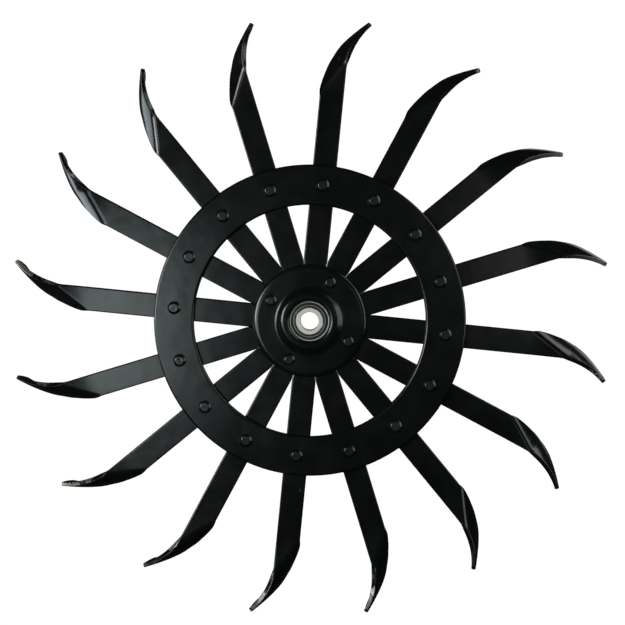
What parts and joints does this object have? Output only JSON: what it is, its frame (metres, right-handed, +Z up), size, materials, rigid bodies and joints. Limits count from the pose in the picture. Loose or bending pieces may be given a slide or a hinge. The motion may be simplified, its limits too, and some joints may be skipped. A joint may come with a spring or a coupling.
{
  "type": "rotary hoe wheel",
  "caption": "Rotary hoe wheel: hooked flat tines riveted to a ring and clamped in a hub that turns on a sealed ball bearing.",
  "frame": {"origin": "centre of the wheel, on the bore's axis, midway through the inner race", "axes": "+Y along the axle from the front (the ring's side) to the back, +Z up, +X to the right seen from the front"},
  "size_m": [0.5234, 0.0245, 0.5234],
  "materials": {
    "black_paint": "satin-gloss black enamel on steel",
    "bearing_steel": "ground bearing steel",
    "cage_steel": "pressed sheet steel",
    "bearing_seal": "moulded black rubber"
  },
  "bodies": {
    "axle_race": {"bearing_inner_race": "bearing_steel"},
    "wheel": {"tine_01": "black_paint", "tine_02": "black_paint", "tine_03": "black_paint", "tine_04": "black_paint", "tine_05": "black_paint", "tine_06": "black_paint", "tine_07": "black_paint", "tine_08": "black_paint", "tine_09": "black_paint", "tine_10": "black_paint", "tine_11": "black_paint", "tine_12": "black_paint", "tine_13": "black_paint", "tine_14": "black_paint", "tine_15": "black_paint", "tine_16": "black_paint", "tine_ring": "black_paint", "ring_rivets": "black_paint", "hub_flange_front": "black_paint", "hub_flange_rear": "black_paint", "hub_rivets": "black_paint", "bearing_outer_race": "bearing_steel", "bearing_seal_front": "bearing_seal", "bearing_seal_rear": "bearing_seal"},
    "ball_train": {"bearing_balls": "bearing_steel", "bearing_cage_front": "cage_steel", "bearing_cage_rear": "cage_steel", "bearing_cage_rivets": "cage_steel"}
  },
  "joints": [
    {"name": "wheel_spin", "type": "hinge", "parent": "axle_race", "child": "wheel", "pos_m": [0, 0, 0], "axis": [0, 1, 0], "continuous": true},
    {"name": "cage_spin", "type": "hinge", "parent": "axle_race", "child": "ball_train", "pos_m": [0, 0, 0], "axis": [0, 1, 0], "continuous": true}
  ],
  "couplings": [
    {"joint": "cage_spin", "follows": "wheel_spin", "ratio": 0.61999}
  ]
}
